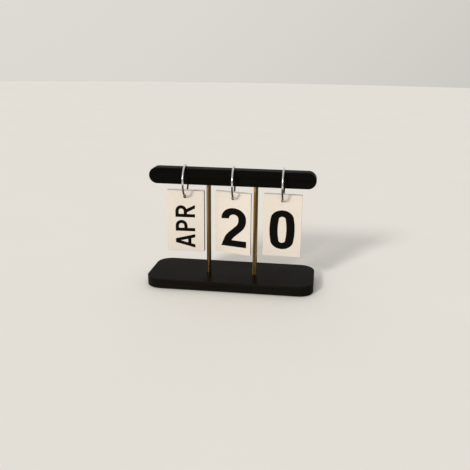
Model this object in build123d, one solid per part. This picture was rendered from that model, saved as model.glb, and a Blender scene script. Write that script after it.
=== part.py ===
"""Flip desk calendar: three stacks of cards on rings, over a bar on two posts.

Millimetres.  X runs along the bar, Y towards the back, Z up.  The origin is the
middle of the base's footprint, on the surface that the calendar stands on.
"""

import os
from math import cos, degrees, radians, sin, sqrt

from build123d import *

# Base: a flat board with rounded corners, on four thin pads
base_length = 200.0
base_depth = 76.0
base_thickness = 11.8
base_corner_radius = 18.2
base_edge_radius = 0.8
pad_diameter = 14.0
pad_thickness = 0.8
pad_inset = 20.0

# Posts: two round brass rods, socketed in the base and in the bar
post_diameter = 5.4
post_forward = 4.4
post_fit = 0.05
base_socket_depth = 4.0
bar_socket_depth = 9.0
post_edge_break = 0.4

# Bar: round at both ends when seen from the front
bar_length = 196.0
bar_height = 19.2
bar_depth = 14.4
bar_edge_radius = 0.7
bar_bottom_height = 121.9

# Screws and washers that draw the posts down from below
screw_diameter = 2.9
screw_length = 16.0
screw_head_diameter = 5.6
screw_head_height = 2.2
screw_slot_width = 0.8
screw_slot_depth = 1.0
screw_hole_play = 0.5
washer_rim = 0.7
washer_thickness = 0.6
washer_play = 0.3
counterbore_play = 0.8
head_recess = 1.2
thread_fit = 0.05
tapped_spare_depth = 2.0

# Rings: round wire in two halves, riveted at the back, with a lapped clasp in front
ring_inner_diameter = 34.4
wire_diameter = 2.2
ring_seat_gap = 0.2
rivet_angle = 25.0
eye_diameter = 3.6
tongue_thickness = 0.8
tongue_side_gap = 0.06
eye_clearance = 0.15
rivet_diameter = 1.2
rivet_fit = 0.04
rivet_head_diameter = 2.1
rivet_head_height = 0.35
lap_length = 3.0
lap_gap = 0.1

# Cards
card_width = 45.0
card_height = 75.0
card_thickness = 1.1
card_gap = 0.3
card_corner_radius = 0.6
card_hole_play = 2.2
card_hole_below_top = 7.1
card_hang_gap = 0.25
card_side_gap = 2.8

# Stacks: name, number of cards, column, how far it hangs to the right of its column,
# turn of the cards, turn of the ring
stacks = (
    ("month", 6, -1, 0.0, -2.0, 3.0),
    ("tens", 5, 0, 1.5, 14.0, 3.0),
    ("ones", 5, 1, 4.0, 2.0, 0.0),
)

# Sizes and places that follow from those above
post_spacing = card_width + post_diameter + 2 * card_side_gap
card_hole_diameter = wire_diameter + card_hole_play
screw_hole_diameter = screw_diameter + screw_hole_play
washer_diameter = screw_head_diameter + 2 * washer_rim
washer_hole_diameter = screw_diameter + washer_play
counterbore_diameter = washer_diameter + counterbore_play
counterbore_depth = screw_head_height + washer_thickness + head_recess
base_bottom = pad_thickness
base_top = base_bottom + base_thickness
bar_top = bar_bottom_height + bar_height
post_bottom = base_top - base_socket_depth
post_top = bar_bottom_height + bar_socket_depth - post_edge_break
wire_radius = wire_diameter / 2
ring_radius = ring_inner_diameter / 2 + wire_radius
ring_reach = ring_inner_diameter / 2 - bar_edge_radius - ring_seat_gap
ring_drop = sqrt(ring_reach**2 - (bar_depth / 2 - bar_edge_radius) ** 2)
ring_centre_height = bar_top - bar_edge_radius - ring_drop
clasp_angle = rivet_angle + 180.0
head_seat = base_bottom + counterbore_depth


def post_places():
    """The middle of each post's foot, as X and Y."""
    return [(side * post_spacing / 2, -post_forward) for side in (-1, 1)]


def upright(radius, bottom, top, x, y):
    """A round bar standing between two heights."""
    return Pos(x, y, (bottom + top) / 2) * Cylinder(radius, top - bottom)


def base():
    """The board, with a socket, a screw hole and a counterbore for each post."""
    outline = RectangleRounded(base_length, base_depth, base_corner_radius)
    board = Pos(0, 0, base_bottom) * extrude(outline, base_thickness)
    rims = board.faces().filter_by(Axis.Z).edges()
    board = fillet(rims, base_edge_radius)
    for x, y in post_places():
        board -= upright(post_diameter / 2 + post_fit, post_bottom, base_top + 1, x, y)
        board -= upright(screw_hole_diameter / 2, base_bottom - 1, base_top, x, y)
        board -= upright(counterbore_diameter / 2, base_bottom - 1, head_seat, x, y)
    return board


def foot_pad(side, end):
    """One of the non-slip pads under the base's corners."""
    x = side * (base_length / 2 - pad_inset)
    y = end * (base_depth / 2 - pad_inset)
    return upright(pad_diameter / 2, 0, pad_thickness, x, y)


def post(x, y):
    """A rod with broken edges and a tapped hole in its foot."""
    rod = upright(post_diameter / 2, post_bottom, post_top, x, y)
    rod = chamfer(rod.edges().filter_by(GeomType.CIRCLE), post_edge_break)
    engaged = screw_length - washer_thickness - (post_bottom - head_seat)
    depth = engaged + tapped_spare_depth
    thread = upright(screw_diameter / 2 + thread_fit, post_bottom - 1, post_bottom + depth, x, y)
    return rod - thread


def base_screws():
    """The two slotted screws, heads down in the counterbores."""
    screws = []
    for x, y in post_places():
        under_head = head_seat - washer_thickness
        shank = upright(screw_diameter / 2, under_head, under_head + screw_length, x, y)
        head_bottom = under_head - screw_head_height
        head = upright(screw_head_diameter / 2, head_bottom, under_head, x, y)
        slot_height = head_bottom + screw_slot_depth / 2
        slot = Box(screw_head_diameter + 1, screw_slot_width, screw_slot_depth)
        screws.append(shank + head - Pos(x, y, slot_height) * slot)
    return Compound(children=screws)


def base_washers():
    """The washer between each screw head and the wood."""
    washers = []
    for x, y in post_places():
        bottom = head_seat - washer_thickness
        disc = upright(washer_diameter / 2, bottom, head_seat, x, y)
        hole = upright(washer_hole_diameter / 2, bottom - 1, head_seat + 1, x, y)
        washers.append(disc - hole)
    return Compound(children=washers)


def top_bar():
    """The bar that the rings hang over, with a blind socket for each post."""
    outline = Plane.XZ * SlotOverall(bar_length, bar_height)
    middle = Pos(0, -post_forward, bar_bottom_height + bar_height / 2)
    bar = middle * extrude(outline, bar_depth / 2, both=True)
    ends = bar.faces().filter_by(Axis.Y).edges()
    bar = fillet(ends, bar_edge_radius)
    socket_top = bar_bottom_height + bar_socket_depth
    for x, y in post_places():
        radius = post_diameter / 2 + post_fit
        bar -= upright(radius, bar_bottom_height - 1, socket_top, x, y)
    return bar


def ring_place(column, nudge, turn):
    """The plane of one ring: local X points back, local Y up, local Z along the bar."""
    x = column * post_spacing + nudge
    back = (-sin(radians(turn)), cos(radians(turn)), 0)
    along = (cos(radians(turn)), sin(radians(turn)), 0)
    return Plane((x, -post_forward, ring_centre_height), x_dir=back, z_dir=along)


def wire_arc(start, end):
    """Ring wire between two angles, measured up from the back."""
    section = Plane.XZ * Pos(ring_radius, 0) * Circle(wire_radius)
    return Rot(0, 0, start) * revolve(section, Axis.Z, end - start)


def angle_of(length):
    """The angle that a length of wire takes up on the ring."""
    return degrees(length / ring_radius)


def at_rivet(solid):
    """Move a solid from the local origin to the rivet, its local X pointing outwards."""
    return Rot(0, 0, rivet_angle) * Pos(ring_radius, 0) * solid


def lap_side(side):
    """Half the space around the clasp, cut along the plane of the ring."""
    size = 4 * wire_diameter + lap_length
    block = Pos(0, 0, side * (size / 2 + lap_gap / 2)) * Box(size, size, size)
    return Rot(0, 0, clasp_angle) * Pos(ring_radius, 0) * block


def lower_half():
    """The half that the cards hang on: a fork at the back, a half lap in front."""
    lap = angle_of(lap_length / 2)
    spare = angle_of(lap_gap)
    wire = wire_arc(clasp_angle + lap, 360 + rivet_angle)
    tip = wire_arc(clasp_angle - lap + spare, clasp_angle + lap) & lap_side(-1)
    eye = Cylinder(eye_diameter / 2, wire_diameter)
    slot_width = tongue_thickness + 2 * tongue_side_gap
    slot = Cylinder(eye_diameter / 2 + eye_clearance, slot_width)
    bore = Cylinder(rivet_diameter / 2 + rivet_fit, 2 * wire_diameter)
    return wire + tip + at_rivet(eye) - at_rivet(slot) - at_rivet(bore)


def upper_half():
    """The half that lifts off the bar: a tongue at the back, a half lap in front."""
    lap = angle_of(lap_length / 2)
    spare = angle_of(lap_gap)
    clear = angle_of(eye_diameter / 2 + eye_clearance)
    wire = wire_arc(rivet_angle + clear, clasp_angle - lap)
    tip = wire_arc(clasp_angle - lap, clasp_angle + lap - spare) & lap_side(1)
    root = angle_of(eye_diameter)
    plate = Cylinder(ring_radius + wire_radius, tongue_thickness)
    tongue = wire_arc(rivet_angle, rivet_angle + root) & plate
    eye = at_rivet(Cylinder(eye_diameter / 2, tongue_thickness))
    bore = at_rivet(Cylinder(rivet_diameter / 2 + rivet_fit, 2 * wire_diameter))
    return wire + tip + tongue + eye - bore


def ring_rivet():
    """The rivet through the fork and the tongue, a flat head on each side."""
    shank = Cylinder(rivet_diameter / 2, wire_diameter + rivet_head_height)
    head_middle = (wire_diameter + rivet_head_height) / 2
    rivet = shank
    for side in (-1, 1):
        rivet += Pos(0, 0, side * head_middle) * Cylinder(rivet_head_diameter / 2, rivet_head_height)
    return at_rivet(rivet)


def card_offset(number, count):
    """How far behind the ring's middle a card hangs; card 1 is in front."""
    return (number - (count + 1) / 2) * (card_thickness + card_gap)


def card(ring, turn, offset):
    """A card hung by its hole on the wire of a ring, at its own place in the stack."""
    outline = RectangleRounded(card_width, card_height, card_corner_radius)
    hole = Pos(0, card_height / 2 - card_hole_below_top) * Circle(card_hole_diameter / 2)
    sheet = extrude(Plane.XZ * (outline - hole), card_thickness / 2, both=True)
    wire = ring.from_local_coords((offset, -sqrt(ring_radius**2 - offset**2)))
    above_hole = wire_radius + card_hang_gap - card_hole_diameter / 2
    drop = above_hole + card_hole_below_top - card_height / 2
    return Pos(wire.X, wire.Y, wire.Z + drop) * Rot(0, 0, -turn) * sheet


def all_parts():
    """Every piece, by the name of its file."""
    left, right = post_places()
    parts = {
        "base": base(),
        "left_post": post(*left),
        "right_post": post(*right),
        "top_bar": top_bar(),
        "base_screws": base_screws(),
        "base_washers": base_washers(),
    }
    for end, depth_name in ((-1, "front"), (1, "back")):
        for side, side_name in ((-1, "left"), (1, "right")):
            parts[f"foot_pad_{depth_name}_{side_name}"] = foot_pad(side, end)
    for name, count, column, nudge, card_turn, ring_turn in stacks:
        ring = ring_place(column, nudge, ring_turn)
        parts[f"{name}_ring_lower_half"] = ring.location * lower_half()
        parts[f"{name}_ring_upper_half"] = ring.location * upper_half()
        parts[f"{name}_ring_rivet"] = ring.location * ring_rivet()
        for number in range(1, count + 1):
            offset = card_offset(number, count)
            parts[f"{name}_card_{number}"] = card(ring, card_turn, offset)
    return parts


def main():
    os.makedirs("parts", exist_ok=True)
    for name, shape in all_parts().items():
        export_step(shape, f"parts/{name}.step")


main()
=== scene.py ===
"""Flip desk calendar: black lacquered stand, brass posts, wire rings and printed cards."""

import math

import bmesh
import bpy
from mathutils import Matrix, Vector


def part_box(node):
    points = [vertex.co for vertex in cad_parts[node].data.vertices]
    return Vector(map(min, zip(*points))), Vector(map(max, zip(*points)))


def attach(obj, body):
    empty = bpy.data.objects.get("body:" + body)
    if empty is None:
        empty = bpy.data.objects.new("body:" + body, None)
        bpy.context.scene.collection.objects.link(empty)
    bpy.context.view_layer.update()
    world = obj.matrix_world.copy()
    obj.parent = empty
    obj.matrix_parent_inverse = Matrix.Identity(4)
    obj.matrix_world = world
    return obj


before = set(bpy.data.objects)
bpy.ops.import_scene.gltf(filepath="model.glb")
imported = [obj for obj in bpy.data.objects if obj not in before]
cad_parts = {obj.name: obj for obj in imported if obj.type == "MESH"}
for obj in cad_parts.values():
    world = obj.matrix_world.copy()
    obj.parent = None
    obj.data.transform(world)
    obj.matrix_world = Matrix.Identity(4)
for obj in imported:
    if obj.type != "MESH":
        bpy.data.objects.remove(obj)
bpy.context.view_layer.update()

MM = 0.001
STACKS = {"month": 6, "tens": 5, "ones": 5}
SWING = {"month": -2.0, "tens": 14.0, "ones": 2.0}  # degrees each stack has turned on its ring
RING_BRIGHT_ABOVE_BAR = 3.0 * MM  # over the bar's underside, where the rings' painted dark reflection ends


# ---------------------------------------------------------------- node helpers


class Finish:
    """A material being mixed: its nodes, and short ways to add the usual ones."""

    def __init__(self, name):
        self.material = bpy.data.materials.new(name)
        self.material.use_nodes = True
        self.nodes = self.material.node_tree.nodes
        self.links = self.material.node_tree.links
        self.shader = self.nodes["Principled BSDF"]
        self.coords = self.nodes.new("ShaderNodeTexCoord")

    def join(self, source, target):
        self.links.new(source, target)

    def stretched(self, scale, turn=(0.0, 0.0, 0.0)):
        """Object coordinates, stretched and turned."""
        mapping = self.nodes.new("ShaderNodeMapping")
        mapping.inputs["Scale"].default_value = scale
        mapping.inputs["Rotation"].default_value = turn
        self.join(self.coords.outputs["Object"], mapping.inputs["Vector"])
        return mapping.outputs["Vector"]

    def noise(self, place, scale, detail=3.0, roughness=0.55):
        """A noise value from 0 to 1."""
        texture = self.nodes.new("ShaderNodeTexNoise")
        texture.inputs["Scale"].default_value = scale
        texture.inputs["Detail"].default_value = detail
        texture.inputs["Roughness"].default_value = roughness
        self.join(place, texture.inputs["Vector"])
        return texture.outputs["Fac"]

    def spread(self, value, low, high, start=0.3, stop=0.7):
        """A value taken from start..stop to low..high."""
        ranged = self.nodes.new("ShaderNodeMapRange")
        ranged.inputs["From Min"].default_value = start
        ranged.inputs["From Max"].default_value = stop
        ranged.inputs["To Min"].default_value = low
        ranged.inputs["To Max"].default_value = high
        self.join(value, ranged.inputs["Value"])
        return ranged.outputs["Result"]

    def math(self, kind, first, second):
        """One sum of two values; the second may be a plain number."""
        node = self.nodes.new("ShaderNodeMath")
        node.operation = kind
        self.join(first, node.inputs[0])
        if isinstance(second, (int, float)):
            node.inputs[1].default_value = second
        else:
            self.join(second, node.inputs[1])
        return node.outputs["Value"]

    def blend(self, amount, first, second):
        """A colour between two, each a colour or a socket."""
        mix = self.nodes.new("ShaderNodeMix")
        mix.data_type = "RGBA"
        for socket, colour in ((mix.inputs[6], first), (mix.inputs[7], second)):
            if isinstance(colour, tuple):
                socket.default_value = (*colour, 1.0)
            else:
                self.join(colour, socket)
        self.join(amount, mix.inputs[0])
        return mix.outputs[2]

    def facing(self, direction):
        """How squarely the surface faces a direction of its own piece, 0 to 1 either way."""
        dot = self.nodes.new("ShaderNodeVectorMath")
        dot.operation = "DOT_PRODUCT"
        dot.inputs[1].default_value = direction
        self.join(self.coords.outputs["Normal"], dot.inputs[0])
        size = self.nodes.new("ShaderNodeMath")
        size.operation = "ABSOLUTE"
        self.join(dot.outputs["Value"], size.inputs[0])
        return size.outputs["Value"]

    def height(self):
        """Height above the floor at rest, in metres."""
        split = self.nodes.new("ShaderNodeSeparateXYZ")
        self.join(self.coords.outputs["Object"], split.inputs["Vector"])
        return split.outputs["Z"]

    def raised(self, height, distance, strength, under=None):
        """A bump of that depth in metres."""
        bump = self.nodes.new("ShaderNodeBump")
        bump.inputs["Distance"].default_value = distance
        bump.inputs["Strength"].default_value = strength
        self.join(height, bump.inputs["Height"])
        if under is not None:
            self.join(under, bump.inputs["Normal"])
        return bump.outputs["Normal"]

    def set(self, **sockets):
        """Plain values or sockets for the shader, by socket name with _ for a space."""
        for name, value in sockets.items():
            socket = self.shader.inputs[name.replace("_", " ")]
            if isinstance(value, bpy.types.NodeSocket):
                self.join(value, socket)
            elif isinstance(value, tuple):
                socket.default_value = (*value, 1.0)
            else:
                socket.default_value = value
        return self.material


# ---------------------------------------------------------------- finishes


def black_lacquer(name, sheen_start, side_black, painted_top_black, polish):
    """Satin black lacquer over close-grained wood, with a painted top tone and lighter brown along the
    edges, partly worn and partly a painted edge highlight.
    """
    edge_brown = (0.030, 0.0255, 0.0205)
    warm_gloss = (1.0, 0.90, 0.76)
    finish = Finish(name)
    grain = finish.noise(finish.stretched((14.0, 320.0, 320.0)), 1.0, 4.0, 0.6)
    pores = finish.noise(finish.stretched((60.0, 1500.0, 1500.0)), 1.0, 2.0, 0.5)
    patches = finish.noise(finish.stretched((1.0, 1.0, 1.0)), 28.0, 2.0, 0.5)
    orange_peel = finish.noise(finish.stretched((1.0, 1.0, 1.0)), 900.0, 2.0, 0.5)

    grain_black = tuple(1.5 * part for part in side_black)
    streaked = finish.blend(finish.spread(grain, 0.0, 1.0), side_black, grain_black)
    # painted light and shade: up-facing faces take their own black, lighter on the bar and darker on
    # the base, for how the light falls on the tops
    upward = finish.facing((0.0, 0.0, 1.0))
    level = finish.spread(upward, 0.0, 1.0, 0.55, 0.95)
    patchy = finish.math("MULTIPLY", level, finish.spread(patches, 0.65, 1.0))
    colour = finish.blend(patchy, streaked, painted_top_black)
    # lighter brown on the rounded edges: partly wear, partly a painted edge highlight
    arris = finish.math("MULTIPLY", upward, finish.math("SUBTRACT", upward, 1.0))
    edge_highlight_and_wear = finish.spread(arris, 0.0, 0.6, -0.04, -0.25)
    painted_light_mask = finish.math("MULTIPLY", edge_highlight_and_wear, finish.spread(grain, 0.35, 1.0))
    colour = finish.blend(painted_light_mask, colour, edge_brown)

    soft = finish.spread(patches, sheen_start, sheen_start + 0.08)
    roughness = finish.math("ADD", soft, finish.spread(grain, -0.03, 0.03))
    skin = finish.raised(orange_peel, 0.00003, 0.2)
    grain_lines = finish.raised(grain, 0.00008, 0.25, skin)
    relief = finish.raised(pores, 0.00004, 0.2, grain_lines)
    return finish.set(
        Base_Color=colour,
        Roughness=roughness,
        Normal=relief,
        IOR=1.5,
        Specular_IOR_Level=polish,
        Specular_Tint=warm_gloss,
    )


def drawn_brass(name, turn):
    """Lacquered brass rod, with long dark brown streaks, painted dark reflections, that turn round it
    by an angle in radians.
    """
    dull_gold = (0.50, 0.32, 0.105)
    bright_gold = (0.66, 0.45, 0.170)
    brown = (0.060, 0.034, 0.010)
    finish = Finish(name)
    drawn = finish.noise(finish.stretched((2400.0, 2400.0, 9.0)), 1.0, 3.0, 0.6)
    scuffs = finish.noise(finish.stretched((420.0, 420.0, 60.0)), 1.0, 4.0, 0.6)
    streaks = finish.noise(finish.stretched((330.0, 330.0, 5.0), (0.0, 0.0, turn)), 1.0, 2.0, 0.5)
    bright = finish.blend(finish.spread(drawn, 0.0, 1.0), dull_gold, bright_gold)
    # painted reflection: dark brown streaks, turned on each post to stand where the rod reflects dark
    # surroundings
    painted_dark_reflection = finish.spread(streaks, 0.0, 0.95, 0.44, 0.54)
    colour = finish.blend(painted_dark_reflection, bright, brown)
    roughness = finish.math(
        "ADD", finish.spread(scuffs, 0.17, 0.27), finish.spread(drawn, -0.03, 0.04)
    )
    lines = finish.raised(drawn, 0.00002, 0.35)
    return finish.set(
        Base_Color=colour,
        Metallic=0.75,
        Roughness=roughness,
        Normal=lines,
        Anisotropic=0.35,
    )


def nickel_wire(name, bright_above):
    """Nickel-plated wire with handling marks, bright up round the bar and darker below it, the darker
    lower part a painted dark reflection and shade.
    """
    fade = 2.0 * MM
    finish = Finish(name)
    marks = finish.noise(finish.stretched((700.0, 700.0, 700.0)), 1.0, 4.0, 0.6)
    clouds = finish.noise(finish.stretched((110.0, 110.0, 110.0)), 1.0, 2.0, 0.5)
    cloudy = finish.spread(clouds, 0.0, 1.0)
    plated = finish.blend(cloudy, (0.68, 0.675, 0.66), (0.84, 0.83, 0.81))
    # painted reflection and shade: the wire darkens below the bar, where it reflects the dark stand and
    # cards
    painted_dark_reflection = finish.blend(cloudy, (0.085, 0.078, 0.068), (0.150, 0.140, 0.125))
    painted_light_mask = finish.spread(finish.height(), 1.0, 0.0, bright_above - fade, bright_above)
    return finish.set(
        Base_Color=finish.blend(painted_light_mask, plated, painted_dark_reflection),
        Metallic=1.0,
        Roughness=finish.spread(marks, 0.17, 0.27),
        Normal=finish.raised(marks, 0.00001, 0.3),
    )


def card_board(name, swing):
    """Warm white matt paper on a board core that shows at the cut edges, with painted shade on the side
    edges and painted light on the top and bottom edges.
    """
    turned = math.radians(swing)
    front = (math.sin(turned), math.cos(turned), 0.0)
    sideways = (math.cos(turned), -math.sin(turned), 0.0)
    cream = (0.763, 0.709, 0.650)
    off_white = (0.806, 0.754, 0.698)
    aged = (0.763, 0.700, 0.631)
    finish = Finish(name)
    fibre = finish.noise(finish.stretched((1.0, 1.0, 1.0)), 2600.0, 4.0, 0.65)
    flocks = finish.noise(finish.stretched((1.0, 1.0, 1.0)), 420.0, 3.0, 0.6)
    cloud = finish.noise(finish.stretched((1.0, 1.0, 1.0)), 45.0, 2.0, 0.5)
    flecked = finish.blend(finish.spread(flocks, 0.0, 1.0), cream, off_white)
    paper = finish.blend(finish.spread(cloud, 0.0, 0.35), flecked, aged)
    plies = finish.noise(finish.stretched((60.0, 5200.0, 60.0), (0.0, 0.0, turned)), 1.0, 2.0, 0.7)
    layered = finish.spread(plies, 0.0, 1.0, 0.35, 0.65)
    # painted light and shade on the cut edges: near white where they face up or down, dark brown on the
    # sides turned from the light
    painted_lit_edges = finish.blend(layered, (0.89, 0.86, 0.81), (0.94, 0.92, 0.88))
    painted_shaded_sides = finish.blend(layered, (0.33, 0.25, 0.18), (0.47, 0.38, 0.29))
    core = finish.blend(finish.spread(finish.facing(sideways), 0.0, 1.0), painted_lit_edges, painted_shaded_sides)
    faced = finish.spread(finish.facing(front), 0.0, 1.0, 0.45, 0.85)
    colour = finish.blend(faced, core, paper)
    weave = finish.raised(fibre, 0.00004, 0.35)
    return finish.set(
        Base_Color=colour,
        Roughness=finish.spread(flocks, 0.62, 0.74),
        Normal=weave,
        IOR=1.45,
        Specular_IOR_Level=0.3,
    )


def printing_ink(name):
    """Screen-printed black, matt and a little uneven."""
    finish = Finish(name)
    mottle = finish.noise(finish.stretched((1.0, 1.0, 1.0)), 520.0, 4.0, 0.65)
    screen = finish.noise(finish.stretched((1.0, 1.0, 1.0)), 3200.0, 3.0, 0.6)
    thin = finish.spread(mottle, 0.0, 1.0, 0.35, 0.75)
    colour = finish.blend(thin, (0.0030, 0.0027, 0.0022), (0.0060, 0.0054, 0.0044))
    return finish.set(
        Base_Color=colour,
        Roughness=finish.spread(mottle, 0.52, 0.68),
        Normal=finish.raised(screen, 0.00002, 0.3),
        Specular_IOR_Level=0.03,
    )


def zinc_steel(name, tone):
    """Zinc-plated steel, cloudy, with fine turning marks; a tone of 1 is new plating."""
    finish = Finish(name)
    clouds = finish.noise(finish.stretched((1.0, 1.0, 1.0)), 380.0, 4.0, 0.6)
    turning = finish.noise(finish.stretched((300.0, 300.0, 4000.0)), 1.0, 2.0, 0.5)
    pale = (0.62 * tone, 0.62 * tone, 0.60 * tone)
    grey = (0.42 * tone, 0.42 * tone, 0.41 * tone)
    return finish.set(
        Base_Color=finish.blend(finish.spread(clouds, 0.0, 1.0), grey, pale),
        Metallic=1.0,
        Roughness=finish.spread(clouds, 0.28, 0.45),
        Normal=finish.raised(turning, 0.00002, 0.4),
    )


def foot_rubber(name):
    """Dull black foam rubber."""
    finish = Finish(name)
    cells = finish.noise(finish.stretched((1.0, 1.0, 1.0)), 1800.0, 3.0, 0.6)
    dust = finish.noise(finish.stretched((1.0, 1.0, 1.0)), 160.0, 3.0, 0.6)
    dusted = finish.spread(dust, 0.0, 1.0)
    return finish.set(
        Base_Color=finish.blend(dusted, (0.018, 0.018, 0.018), (0.040, 0.039, 0.037)),
        Roughness=finish.spread(cells, 0.75, 0.92),
        Normal=finish.raised(cells, 0.00006, 0.6),
        Specular_IOR_Level=0.2,
    )


def paint_node(name, material):
    """Gives every slot of a CAD node one finish."""
    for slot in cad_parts[name].material_slots:
        slot.material = material


def finish_cad_nodes():
    """The finishes of the stand, the rings and the cards."""
    # each lacquer takes a side black, then a painted top black for how lit its top looks
    base_lacquer = black_lacquer(
        "base_lacquer", 0.24, (0.0066, 0.0058, 0.0046), (0.0036, 0.0030, 0.0022), 0.012
    )
    bar_lacquer = black_lacquer(
        "bar_lacquer", 0.32, (0.0036, 0.0034, 0.0028), (0.0056, 0.0046, 0.0034), 0.006
    )
    paint_node("base", base_lacquer)
    paint_node("top_bar", bar_lacquer)
    # the angle sets where each post's painted dark reflection falls
    paint_node("left_post", drawn_brass("left_post_brass", 0.93))
    paint_node("right_post", drawn_brass("right_post_brass", 1.86))
    paint_node("base_screws", zinc_steel("screw_zinc", 1.0))
    paint_node("base_washers", zinc_steel("washer_zinc", 0.85))
    rubber = foot_rubber("foot_rubber")
    wire = nickel_wire("ring_nickel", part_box("top_bar")[0].z + RING_BRIGHT_ABOVE_BAR)
    for end in ("front", "back"):
        for side in ("left", "right"):
            paint_node(f"foot_pad_{end}_{side}", rubber)
    for stack, count in STACKS.items():
        board = card_board(f"{stack}_card_board", SWING[stack])
        for part in ("lower_half", "upper_half", "rivet"):
            paint_node(f"{stack}_ring_{part}", wire)
        for number in range(1, count + 1):
            paint_node(f"{stack}_card_{number}", board)


# ---------------------------------------------------------------- letters and digits
# A character is drawn with a flat pen, in capital heights, as strokes of
# (start x, start y, heading in degrees, moves), and some with a height to cut them off at.
# A move is ("go", length) or ("turn", radius, degrees), to the left when the degrees are positive.

LETTER_PEN = 0.168
STEM = LETTER_PEN / 2.0
TOP = 1.0 - STEM
DIGIT_PEN = 0.166
DIGIT_WIDE = 0.542
LEFT = DIGIT_PEN / 2.0
RIGHT = DIGIT_WIDE - LEFT
FOOT = DIGIT_PEN / 2.0
HEAD = 1.0 - FOOT
BEYOND = 0.1  # how far a stroke overshoots before it is trimmed
ARC_STEP = 5.0  # degrees to a facet
SAME_POINT = 1e-5  # points of a stroke this near are one
ON_THE_LINE = 1e-6  # points this near a trimming line count as on it


def direction(heading):
    """The flat direction of a heading in degrees."""
    return Vector((math.cos(math.radians(heading)), math.sin(math.radians(heading)), 0.0))


def line(x0, y0, x1, y1):
    """A straight stroke."""
    heading = math.degrees(math.atan2(y1 - y0, x1 - x0))
    return (x0, y0, heading, [("go", math.hypot(x1 - x0, y1 - y0))])


def oval_moves(half_width, half_height, end_radius):
    """Moves round an upright oval, from the middle of its right side, upwards."""
    rise = half_height - end_radius
    side_radius = (half_width**2 + rise**2 - end_radius**2) / (2.0 * (half_width - end_radius))
    lean = math.degrees(math.atan2(rise, side_radius - half_width))
    side = ("turn", side_radius, lean)
    end = ("turn", end_radius, 180.0 - 2.0 * lean)
    return [side, end, side, side, end, side]


def bowl(x, y, reach, radius, drop=0.0):
    """A round lobe that leaves a stem at x, y to the right and comes back below."""
    down = [("turn", radius, -90.0), ("go", drop), ("turn", radius, -90.0)]
    return (x, y, 0.0, [("go", reach), *down, ("go", reach)])


def arc_start(centre_x, centre_y, radius, degrees, turns_left):
    """Where a stroke that begins on a circle starts, and the way it heads."""
    place = direction(degrees) * radius
    heading = degrees + (90.0 if turns_left else -90.0)
    return centre_x + place.x, centre_y + place.y, heading


def digit_zero():
    half_wide = 0.254 - DIGIT_PEN / 2.0
    half_tall = 0.5 - DIGIT_PEN / 2.0
    return [(0.271 + half_wide, 0.5, 90.0, oval_moves(half_wide, half_tall, 0.150))]


def digit_one():
    return [line(0.36, -BEYOND, 0.36, 1.0 + BEYOND), line(0.07, 0.725, 0.345, 0.925)]


def digit_two():
    radius = 0.183
    start = arc_start(LEFT + radius, HEAD - radius, radius, 186.0, False)
    crook = [("turn", radius, -186.0), ("go", 0.05), ("turn", 0.30, -42.0)]
    slope = [("go", 0.225), ("turn", 0.40, 24.0), ("go", 0.30)]
    return [(*start, crook + slope), line(0.10, FOOT, DIGIT_WIDE, FOOT)]


def digit_three():
    small = 0.178
    large = 0.188
    waist = 0.522
    start = arc_start(LEFT + small, HEAD - small, small, 178.0, False)
    drop = HEAD - waist - 2.0 * small
    upper = [("turn", small, -178.0), ("go", drop), ("turn", small, -90.0), ("go", 0.07)]
    drop = waist - FOOT - 2.0 * large
    lower = [("go", 0.08), ("turn", large, -90.0), ("go", drop), ("turn", large, -178.0)]
    return [(*start, upper), (RIGHT - large - 0.08, waist, 0.0, lower)]


def digit_four():
    bar = 0.262
    slope = line(0.055, bar - LEFT - BEYOND, 0.40, 1.0 + BEYOND)
    stem = line(0.375, -BEYOND, 0.375, 1.0 + BEYOND)
    return [stem, line(0.10, bar, DIGIT_WIDE, bar), (*slope, bar - LEFT)]


def digit_five():
    radius = 0.19
    start = arc_start(RIGHT - radius, 0.34, radius, 145.0, False)
    drop = 0.34 - FOOT - radius
    lobe = [("turn", radius, -145.0), ("go", drop), ("turn", radius, -178.0)]
    return [line(0.15, HEAD, 0.50, HEAD), line(0.158, 1.0 + BEYOND, 0.098, 0.45), (*start, lobe)]


def digit_six():
    radius = RIGHT / 2.0 - LEFT / 2.0
    low = FOOT + radius
    start = arc_start(LEFT + radius, HEAD - radius, radius, 12.0, True)
    down = HEAD - radius - low
    overlap = 0.02
    back = [("turn", radius, 168.0), ("go", down), ("turn", radius, 90.0), ("go", overlap)]
    lobe = [("turn", radius, 90.0), ("go", 0.13), ("turn", radius, 175.0)]
    return [(*start, back), (LEFT + radius, FOOT, 0.0, lobe)]


def digit_seven():
    slope = (0.462, 0.90, -113.0, [("go", 0.35), ("turn", 1.2, 14.0), ("go", 0.5)])
    return [line(0.0, HEAD, DIGIT_WIDE, HEAD), slope]


def digit_eight():
    small = 0.168
    large = 0.188
    waist = 0.53
    drop = HEAD - waist - 2.0 * small
    upper = [("turn", small, 180.0), ("go", drop), ("turn", small, 180.0), ("go", drop)]
    rise = waist - FOOT - 2.0 * large
    lower = [("go", rise), ("turn", large, 180.0), ("go", rise), ("turn", large, 180.0)]
    middle = DIGIT_WIDE / 2.0
    return [(middle + small, HEAD - small, 90.0, upper), (middle + large, FOOT + large, 90.0, lower)]


def digit_nine():
    turned = []
    for x, y, heading, moves in digit_six():
        turned.append((DIGIT_WIDE - x, 1.0 - y, heading + 180.0, moves))
    return turned


def upright(x):
    """A full stem at x."""
    return line(x, -BEYOND, x, 1.0 + BEYOND)


def letter_a():
    sides = [line(0.057, -BEYOND, 0.359, 1.0 + BEYOND), line(0.651, -BEYOND, 0.349, 1.0 + BEYOND)]
    return [*sides, line(0.13, 0.285, 0.58, 0.285)]


def letter_b():
    return [upright(STEM), bowl(STEM, TOP, 0.25, 0.197), bowl(STEM, 0.522, 0.275, 0.219)]


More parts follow.
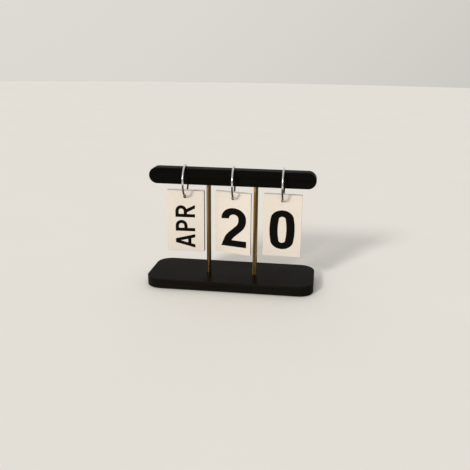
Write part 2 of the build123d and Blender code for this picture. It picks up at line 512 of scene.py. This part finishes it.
def letter_c():
    radius = 0.27
    start = arc_start(STEM + radius, TOP - radius, radius, 35.0, True)
    down = TOP - STEM - 2.0 * radius
    return [(*start, [("turn", radius, 145.0), ("go", down), ("turn", radius, 145.0)])]


def letter_d():
    return [upright(STEM), bowl(STEM, TOP, 0.18, 0.30, TOP - STEM - 0.6)]


def letter_e():
    arms = [line(STEM, y, x, y) for x, y in ((0.58, TOP), (0.54, 0.51), (0.58, STEM))]
    return [upright(STEM), *arms]


def letter_f():
    return [upright(STEM), line(STEM, TOP, 0.56, TOP), line(STEM, 0.49, 0.51, 0.49)]


def letter_g():
    radius = 0.27
    start = arc_start(STEM + radius, TOP - radius, radius, 35.0, True)
    down = TOP - STEM - 2.0 * radius
    sweep = [("turn", radius, 145.0), ("go", down), ("turn", radius, 180.0), ("go", 0.10)]
    shelf = 0.42
    return [(*start, sweep), line(0.37, shelf, LETTER_PEN + 2.0 * radius, shelf)]


def letter_j():
    radius = 0.17
    down = 1.0 + BEYOND - STEM - radius
    return [(0.44, 1.0 + BEYOND, -90.0, [("go", down), ("turn", radius, -165.0)])]


def letter_l():
    return [upright(STEM), line(STEM, STEM, 0.54, STEM)]


def letter_m():
    wide = 0.82
    slopes = [
        line(0.06, 1.0 + BEYOND, 0.44, -BEYOND),
        line(wide - 0.06, 1.0 + BEYOND, wide - 0.44, -BEYOND),
    ]
    return [upright(STEM), upright(wide - STEM), *slopes]


def letter_n():
    wide = 0.68
    return [upright(STEM), upright(wide - STEM), line(0.04, 1.0 + BEYOND, wide - 0.04, -BEYOND)]


def letter_o():
    half_wide = 0.375 - STEM
    return [(0.375 + half_wide, 0.5, 90.0, oval_moves(half_wide, 0.5 - STEM, 0.26))]


def letter_p():
    return [upright(STEM), bowl(STEM, TOP, 0.188, 0.222)]


def letter_r():
    return [upright(STEM), bowl(STEM, TOP, 0.232, 0.211), line(0.285, 0.54, 0.61, -BEYOND)]


def letter_s():
    small = 0.198
    large = 0.212
    start = arc_start(0.31, TOP - small, small, 20.0, True)
    upper = [("turn", small, 160.0), ("turn", small, 78.0)]
    spine = [("go", 0.11), ("turn", large, -78.0)]
    return [(*start, [*upper, *spine, ("turn", large, -165.0)])]


def letter_t():
    return [upright(0.30), line(0.0, TOP, 0.60, TOP)]


def letter_u():
    radius = 0.25
    down = 1.0 + BEYOND - STEM - radius
    return [(STEM, 1.0 + BEYOND, -90.0, [("go", down), ("turn", radius, 180.0), ("go", down)])]


def letter_v():
    return [line(0.057, 1.0 + BEYOND, 0.347, -BEYOND), line(0.623, 1.0 + BEYOND, 0.333, -BEYOND)]


def letter_y():
    arms = [line(0.05, 1.0 + BEYOND, 0.335, 0.42), line(0.61, 1.0 + BEYOND, 0.325, 0.42)]
    return [line(0.33, -BEYOND, 0.33, 0.46), *arms]


DIGITS = (
    digit_zero,
    digit_one,
    digit_two,
    digit_three,
    digit_four,
    digit_five,
    digit_six,
    digit_seven,
    digit_eight,
    digit_nine,
)
LETTERS = {
    "A": letter_a,
    "B": letter_b,
    "C": letter_c,
    "D": letter_d,
    "E": letter_e,
    "F": letter_f,
    "G": letter_g,
    "J": letter_j,
    "L": letter_l,
    "M": letter_m,
    "N": letter_n,
    "O": letter_o,
    "P": letter_p,
    "R": letter_r,
    "S": letter_s,
    "T": letter_t,
    "U": letter_u,
    "V": letter_v,
    "Y": letter_y,
}
MONTHS = ("JAN", "FEB", "MAR", "APR", "MAY", "JUN", "JUL", "AUG", "SEP", "OCT", "NOV", "DEC")


def draw_stroke(bm, pen, x, y, heading, moves):
    """Drags a flat pen along the moves and leaves a ribbon of faces."""
    place = Vector((x, y, 0.0))
    across = direction(heading + 90.0) * (pen / 2.0)
    ends = [bm.verts.new(place + across), bm.verts.new(place - across)]
    tip = [bm.edges.new(ends)]
    for move in moves:
        if move[0] == "go":
            ahead = direction(heading) * move[1]
            grown = bmesh.ops.extrude_edge_only(bm, edges=tip)["geom"]
            ends = [part for part in grown if isinstance(part, bmesh.types.BMVert)]
            bmesh.ops.translate(bm, verts=ends, vec=ahead)
            tip = [
                part
                for part in grown
                if isinstance(part, bmesh.types.BMEdge) and set(part.verts) == set(ends)
            ]
            place = place + ahead
            continue
        radius, degrees = move[1], move[2]
        centre = place + direction(heading + math.copysign(90.0, degrees)) * radius
        swept = bmesh.ops.spin(
            bm,
            geom=ends + tip,
            cent=centre,
            axis=(0.0, 0.0, 1.0),
            angle=math.radians(degrees),
            steps=max(2, math.ceil(abs(degrees) / ARC_STEP)),
            use_duplicate=False,
        )["geom_last"]
        ends = [part for part in swept if isinstance(part, bmesh.types.BMVert)]
        tip = [part for part in swept if isinstance(part, bmesh.types.BMEdge)]
        place = centre + Matrix.Rotation(math.radians(degrees), 3, "Z") @ (place - centre)
        heading += degrees


def trim_to_lines(bm, lowest):
    """Cuts a stroke off at the baseline, or at its own lowest height, and at the capital line."""
    for height, outward in ((lowest, -1.0), (1.0, 1.0)):
        bmesh.ops.bisect_plane(
            bm,
            geom=bm.verts[:] + bm.edges[:] + bm.faces[:],
            dist=ON_THE_LINE,
            plane_co=(0.0, height, 0.0),
            plane_no=(0.0, outward, 0.0),
            clear_outer=True,
        )


def stroke_solid(pen, stroke):
    """One stroke as a closed prism, one unit deep."""
    bm = bmesh.new()
    draw_stroke(bm, pen, *stroke[:4])
    trim_to_lines(bm, stroke[4] if len(stroke) > 4 else 0.0)
    bmesh.ops.remove_doubles(bm, verts=bm.verts[:], dist=SAME_POINT)
    grown = bmesh.ops.extrude_face_region(bm, geom=bm.faces[:])["geom"]
    lifted = [part for part in grown if isinstance(part, bmesh.types.BMVert)]
    bmesh.ops.translate(bm, verts=lifted, vec=(0.0, 0.0, 1.0))
    bmesh.ops.recalc_face_normals(bm, faces=bm.faces[:])
    mesh = bpy.data.meshes.new("stroke")
    bm.to_mesh(mesh)
    bm.free()
    return mesh


def character_mesh(pen, strokes):
    """All strokes of a character run into one closed solid."""
    solids = []
    for stroke in strokes:
        solid = bpy.data.objects.new("stroke", stroke_solid(pen, stroke))
        bpy.context.scene.collection.objects.link(solid)
        solids.append(solid)
    first = solids[0]
    for other in solids[1:]:
        union = first.modifiers.new("run_together", "BOOLEAN")
        union.operation = "UNION"
        union.solver = "EXACT"
        union.object = other
    evaluated = first.evaluated_get(bpy.context.evaluated_depsgraph_get())
    mesh = bpy.data.meshes.new_from_object(evaluated)
    for solid in solids:
        spent = solid.data
        bpy.data.objects.remove(solid)
        bpy.data.meshes.remove(spent)
    return mesh


def ends_of(vertices):
    """Left and right ends of a character or a word."""
    across = [vertex.co.x for vertex in vertices]
    return min(across), max(across)


# ---------------------------------------------------------------- prints

DIGIT_HEIGHT = 47.6 * MM
DIGIT_STRETCH = 1.24  # how much wider than drawn
DIGIT_MIDDLE = 42.4 * MM  # below the card's top edge
DIGIT_ASIDE = {"tens": 1.1 * MM, "ones": 0.0}
LETTER_HEIGHT = 23.7 * MM
LETTER_GAP = 0.148
WORD_MIDDLE = 43.5 * MM
WORD_ASIDE = -0.1 * MM
WORD_LIMIT = 56.0 * MM  # the longest that a month may be
INK_DEPTH = 0.05 * MM
INK_PROUD = 0.04 * MM  # of the paper
MERGE_WITHIN = 0.003 * MM  # points of a print this near are one

drawn_characters = {}


def character(key):
    """A letter or digit, drawn once and used again."""
    if key not in drawn_characters:
        if isinstance(key, int):
            drawn_characters[key] = character_mesh(DIGIT_PEN, DIGITS[key]())
        else:
            drawn_characters[key] = character_mesh(LETTER_PEN, LETTERS[key]())
    return drawn_characters[key]


def card_side(stack, number, back):
    """The matrix from a card's side, x right, y up, z out of the paper, with its middle at 0."""
    low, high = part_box(f"{stack}_card_{number}")
    turned = math.radians(SWING[stack])
    right = Vector((math.cos(turned), -math.sin(turned), 0.0))
    up = Vector((0.0, 0.0, 1.0))
    if back:
        right.negate()
    outward = right.cross(up)
    across = high.x - low.x
    deep = high.y - low.y
    wide = (across * math.cos(turned) - deep * abs(math.sin(turned))) / math.cos(2.0 * turned)
    thick = (deep - wide * abs(math.sin(turned))) / math.cos(turned)
    middle = (low + high) / 2.0 + outward * (thick / 2.0)
    return Matrix(
        (
            (right.x, up.x, outward.x, middle.x),
            (right.y, up.y, outward.y, middle.y),
            (right.z, up.z, outward.z, middle.z),
            (0.0, 0.0, 0.0, 1.0),
        )
    )


def half_height(stack, number):
    """Half a card's height."""
    low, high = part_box(f"{stack}_card_{number}")
    return (high.z - low.z) / 2.0


def laid_word(text):
    """The characters of a word side by side, with the middle of the word at 0, in capital heights."""
    bm = bmesh.new()
    pen_x = 0.0
    for key in text:
        mesh = character(key)
        left, right = ends_of(mesh.vertices)
        already = len(bm.verts)
        bm.from_mesh(mesh)
        bmesh.ops.translate(bm, verts=bm.verts[already:], vec=(pen_x - left, -0.5, 0.0))
        pen_x += right - left + LETTER_GAP
    bmesh.ops.translate(bm, verts=bm.verts[:], vec=((LETTER_GAP - pen_x) / 2.0, 0.0, 0.0))
    return bm


def print_piece(name, bm, place, body, ink):
    """Puts drawn characters on a card as a thin layer of ink."""
    bmesh.ops.transform(bm, verts=bm.verts[:], matrix=place)
    bmesh.ops.remove_doubles(bm, verts=bm.verts[:], dist=MERGE_WITHIN)
    bmesh.ops.recalc_face_normals(bm, faces=bm.faces[:])
    mesh = bpy.data.meshes.new(name)
    bm.to_mesh(mesh)
    bm.free()
    mesh.materials.clear()
    mesh.materials.append(ink)
    piece = bpy.data.objects.new(name, mesh)
    bpy.context.scene.collection.objects.link(piece)
    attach(piece, body)


def print_digit(stack, number, back, digit, ink):
    """One large digit on one side of a card."""
    bm = laid_word((digit,))
    sized = Matrix.Diagonal((DIGIT_HEIGHT * DIGIT_STRETCH, DIGIT_HEIGHT, INK_DEPTH, 1.0))
    middle = half_height(stack, number) - DIGIT_MIDDLE
    set_down = Matrix.Translation((DIGIT_ASIDE[stack], middle, INK_PROUD - INK_DEPTH))
    place = card_side(stack, number, back) @ set_down @ sized
    side = "back" if back else "front"
    name = f"{stack}_print_{number}_{side}"
    print_piece(name, bm, place, f"{stack}_card_{number}", ink)


def print_month(number, back, month, ink):
    """A month's short name on one side of a card, reading upwards."""
    bm = laid_word(month)
    left, right = ends_of(bm.verts)
    height = min(LETTER_HEIGHT, WORD_LIMIT / (right - left))
    sized = Matrix.Diagonal((height, height, INK_DEPTH, 1.0))
    upwards = Matrix.Rotation(math.radians(90.0), 4, "Z")
    middle = half_height("month", number) - WORD_MIDDLE
    set_down = Matrix.Translation((WORD_ASIDE, middle, INK_PROUD - INK_DEPTH))
    place = card_side("month", number, back) @ set_down @ upwards @ sized
    side = "back" if back else "front"
    print_piece(f"month_print_{number}_{side}", bm, place, f"month_card_{number}", ink)


def print_stacks():
    """Twelve months on six cards and ten digits on each five: fronts run on, backs come back."""
    ink = printing_ink("print_ink")
    first_month = MONTHS.index("APR")
    first_digit = {"tens": 2, "ones": 0}
    for number in range(1, STACKS["month"] + 1):
        front = MONTHS[(first_month + number - 1) % 12]
        behind = MONTHS[(first_month + 12 - number) % 12]
        print_month(number, False, front, ink)
        print_month(number, True, behind, ink)
    for stack, first in first_digit.items():
        for number in range(1, STACKS[stack] + 1):
            print_digit(stack, number, False, (first + number - 1) % 10, ink)
            print_digit(stack, number, True, (first + 10 - number) % 10, ink)


# ---------------------------------------------------------------- floor, light and camera

FLOOR_RADIUS = 6.0
FLOOR_DROP = 0.05 * MM  # below the pads, so that no two faces share a plane
WINDOW_SHINES = Vector((0.43, 0.77, -0.47))
WINDOW_WIDTH = math.radians(11.0)
ROOM_BRIGHTEST = Vector((-0.60, 0.50, 0.62)).normalized()
CAMERA_PLACE = (0.1, -0.65454, 0.26487)
CAMERA_TURN = math.radians(6.742)
CAMERA_TILT = math.radians(15.632)
CAMERA_LEAN = math.radians(0.901)


def lay_floor():
    """A plain pale floor under the pads."""
    bm = bmesh.new()
    bmesh.ops.create_circle(bm, cap_ends=True, segments=96, radius=FLOOR_RADIUS)
    bmesh.ops.translate(bm, verts=bm.verts[:], vec=(0.0, 0.0, -FLOOR_DROP))
    mesh = bpy.data.meshes.new("floor")
    bm.to_mesh(mesh)
    bm.free()
    floor = bpy.data.objects.new("floor", mesh)
    bpy.context.scene.collection.objects.link(floor)
    finish = Finish("floor_paint")
    clouds = finish.noise(finish.stretched((1.0, 1.0, 1.0)), 6.0, 2.0, 0.5)
    mesh.materials.append(
        finish.set(
            Base_Color=finish.blend(clouds, (0.86, 0.86, 0.85), (0.89, 0.89, 0.88)),
            Roughness=0.7,
            Specular_IOR_Level=0.3,
        )
    )


def light_room():
    """A pale room, and one soft window light from the left, in front and above."""
    dim = (0.40, 0.38, 0.355, 1.0)
    pale = (0.80, 0.77, 0.72, 1.0)
    world = bpy.data.worlds.new("pale_room")
    bpy.context.scene.world = world
    world.use_nodes = True
    nodes = world.node_tree.nodes
    links = world.node_tree.links
    sky = nodes["Background"]
    coords = nodes.new("ShaderNodeTexCoord")
    toward = nodes.new("ShaderNodeVectorMath")
    toward.operation = "DOT_PRODUCT"
    toward.inputs[1].default_value = ROOM_BRIGHTEST
    links.new(coords.outputs["Generated"], toward.inputs[0])
    ranged = nodes.new("ShaderNodeMapRange")
    ranged.interpolation_type = "SMOOTHSTEP"
    ranged.inputs["From Min"].default_value = -0.6
    ranged.inputs["From Max"].default_value = 0.9
    links.new(toward.outputs["Value"], ranged.inputs["Value"])
    mix = nodes.new("ShaderNodeMix")
    mix.data_type = "RGBA"
    mix.inputs[6].default_value = dim
    mix.inputs[7].default_value = pale
    links.new(ranged.outputs["Result"], mix.inputs[0])
    links.new(mix.outputs[2], sky.inputs["Color"])
    sky.inputs["Strength"].default_value = 0.92

    lamp = bpy.data.lights.new("window", "SUN")
    lamp.energy = 1.8
    lamp.angle = WINDOW_WIDTH
    lamp.color = (1.0, 0.93, 0.84)
    window = bpy.data.objects.new("window", lamp)
    window.rotation_euler = WINDOW_SHINES.to_track_quat("-Z", "Y").to_euler()
    bpy.context.scene.collection.objects.link(window)


def place_camera():
    """The camera stands a little to the right, looks slightly down, and turns left to the stand."""
    lens = bpy.data.cameras.new("camera")
    lens.sensor_width = 36.0
    lens.lens = 43.94
    lens.shift_x = -0.0349
    lens.shift_y = -0.0338
    lens.clip_start = 0.01
    camera = bpy.data.objects.new("camera", lens)
    place = Matrix.Translation(CAMERA_PLACE)
    turn_left = Matrix.Rotation(CAMERA_TURN, 4, "Z")
    tilt_down = Matrix.Rotation(math.radians(90.0) - CAMERA_TILT, 4, "X")
    lean = Matrix.Rotation(CAMERA_LEAN, 4, "Z")
    camera.matrix_world = place @ turn_left @ tilt_down @ lean
    bpy.context.scene.collection.objects.link(camera)
    bpy.context.scene.camera = camera


finish_cad_nodes()
print_stacks()
lay_floor()
light_room()
place_camera()
bpy.context.scene.view_settings.view_transform = "Standard"
